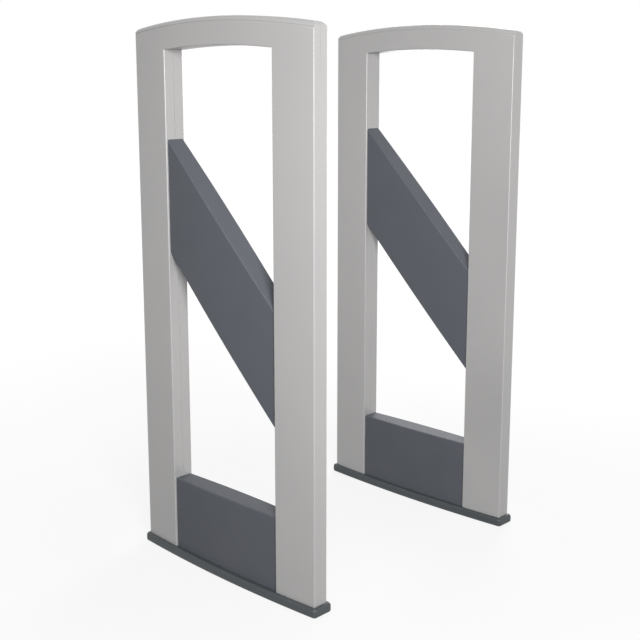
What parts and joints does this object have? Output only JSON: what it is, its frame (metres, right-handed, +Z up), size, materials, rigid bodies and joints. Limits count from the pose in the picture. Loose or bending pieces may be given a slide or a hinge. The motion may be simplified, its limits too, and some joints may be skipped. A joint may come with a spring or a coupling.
{
  "type": "security gate",
  "caption": "Shop-exit security gate: facing arched silver pedestals, each with a dark diagonal aerial panel, a kick box with a lift-off service cover, and a plinth.",
  "frame": {"origin": "on the floor, midway between the two pedestals, at mid width", "axes": "+X along a pedestal's width, towards the low end of its diagonal; +Y across the aisle from the primary pedestal to the secondary one; +Z up"},
  "size_m": [0.772, 0.988, 1.65],
  "materials": {
    "silver_shell": "satin silver-grey paint on moulded ABS",
    "charcoal_panel": "fine-grained charcoal ABS",
    "zinc_steel": "zinc plated sheet and plate",
    "glass_fibre": "pultruded glass-fibre, satin",
    "copper_strip": "bare flat copper strip",
    "nylon": "natural nylon",
    "circuit_board": "green solder mask on glass epoxy",
    "trimmer_metal": "plated brass",
    "black_screw": "black oxide steel",
    "rubber": "matt rubber",
    "black_jacket": "black PVC jacket",
    "cast_case": "bead-blasted die casting",
    "nickel_port": "nickel plated brass",
    "supply_case": "folded plated sheet",
    "black_moulding": "black moulded polyamide",
    "red_rocker": "red polycarbonate",
    "mains_insulation": "brown PVC insulation",
    "dc_insulation": "red PVC insulation"
  },
  "bodies": {
    "gate": {"primary_aerial_leads": "black_jacket", "primary_alarm_sounder": "black_moulding", "primary_base_plate": "zinc_steel", "primary_cable_grommet": "rubber", "primary_chassis_plate": "zinc_steel", "primary_dc_wires": "dc_insulation", "primary_diagonal_lid": "charcoal_panel", "primary_diagonal_spar": "glass_fibre", "primary_diagonal_tray": "charcoal_panel", "primary_front_shell": "silver_shell", "primary_header_rail": "glass_fibre", "primary_kick_panel": "charcoal_panel", "primary_left_upright": "glass_fibre", "primary_lower_aerial": "copper_strip", "primary_lower_tuner": "circuit_board", "primary_mains_inlet": "black_moulding", "primary_mains_wires": "mains_insulation", "primary_nylon_clips": "nylon", "primary_plinth_moulding": "charcoal_panel", "primary_power_supply": "supply_case", "primary_reader_case": "cast_case", "primary_reader_ports": "nickel_port", "primary_rear_shell": "silver_shell", "primary_right_upright": "glass_fibre", "primary_shell_screws": "black_screw", "primary_supply_terminals": "black_moulding", "primary_upper_aerial": "copper_strip", "primary_upper_tuner": "circuit_board", "secondary_aerial_leads": "black_jacket", "secondary_base_plate": "zinc_steel", "secondary_cable_grommet": "rubber", "secondary_chassis_plate": "zinc_steel", "secondary_diagonal_lid": "charcoal_panel", "secondary_diagonal_spar": "glass_fibre", "secondary_diagonal_tray": "charcoal_panel", "secondary_front_shell": "silver_shell", "secondary_header_rail": "glass_fibre", "secondary_kick_panel": "charcoal_panel", "secondary_left_upright": "glass_fibre", "secondary_lower_aerial": "copper_strip", "secondary_lower_tuner": "circuit_board", "secondary_nylon_clips": "nylon", "secondary_plinth_moulding": "charcoal_panel", "secondary_rear_shell": "silver_shell", "secondary_right_upright": "glass_fibre", "secondary_shell_screws": "black_screw", "secondary_splitter_case": "cast_case", "secondary_splitter_ports": "nickel_port", "secondary_upper_aerial": "copper_strip", "secondary_upper_tuner": "circuit_board"},
    "primary_cover": {"primary_service_cover": "charcoal_panel", "primary_cover_screws": "black_screw"},
    "primary_upper_trimmer": {"primary_upper_trimmer_rotor": "trimmer_metal"},
    "primary_lower_trimmer": {"primary_lower_trimmer_rotor": "trimmer_metal"},
    "secondary_cover": {"secondary_service_cover": "charcoal_panel", "secondary_cover_screws": "black_screw"},
    "secondary_upper_trimmer": {"secondary_upper_trimmer_rotor": "trimmer_metal"},
    "secondary_lower_trimmer": {"secondary_lower_trimmer_rotor": "trimmer_metal"},
    "mains_rocker": {"primary_mains_rocker": "red_rocker"},
    "fuse_drawer": {"primary_fuse_drawer": "black_moulding"}
  },
  "joints": [
    {"name": "primary_cover_lift_off", "type": "slide", "parent": "gate", "child": "primary_cover", "axis": [0, 1, 0], "range_m": [0, 0.15]},
    {"name": "primary_upper_trimmer_turn", "type": "hinge", "parent": "gate", "child": "primary_upper_trimmer", "pos_m": [-0.03783, -0.42002, 0.84037], "axis": [0, 1, 0], "continuous": true},
    {"name": "primary_lower_trimmer_turn", "type": "hinge", "parent": "gate", "child": "primary_lower_trimmer", "pos_m": [0.15, -0.45638, 0.093], "axis": [0, 1, 0], "continuous": true},
    {"name": "secondary_cover_lift_off", "type": "slide", "parent": "gate", "child": "secondary_cover", "axis": [0, 1, 0], "range_m": [0, 0.15]},
    {"name": "secondary_upper_trimmer_turn", "type": "hinge", "parent": "gate", "child": "secondary_upper_trimmer", "pos_m": [-0.03783, 0.46398, 0.84037], "axis": [0, 1, 0], "continuous": true},
    {"name": "secondary_lower_trimmer_turn", "type": "hinge", "parent": "gate", "child": "secondary_lower_trimmer", "pos_m": [0.15, 0.42762, 0.093], "axis": [0, 1, 0], "continuous": true},
    {"name": "mains_rocker_tilt", "type": "hinge", "parent": "gate", "child": "mains_rocker", "pos_m": [-0.058, -0.435, 0.082], "axis": [0, 1, 0], "range_deg": [-14, 0]},
    {"name": "fuse_drawer_pull", "type": "slide", "parent": "gate", "child": "fuse_drawer", "axis": [1, 0, 0], "range_m": [0, 0.018]}
  ]
}
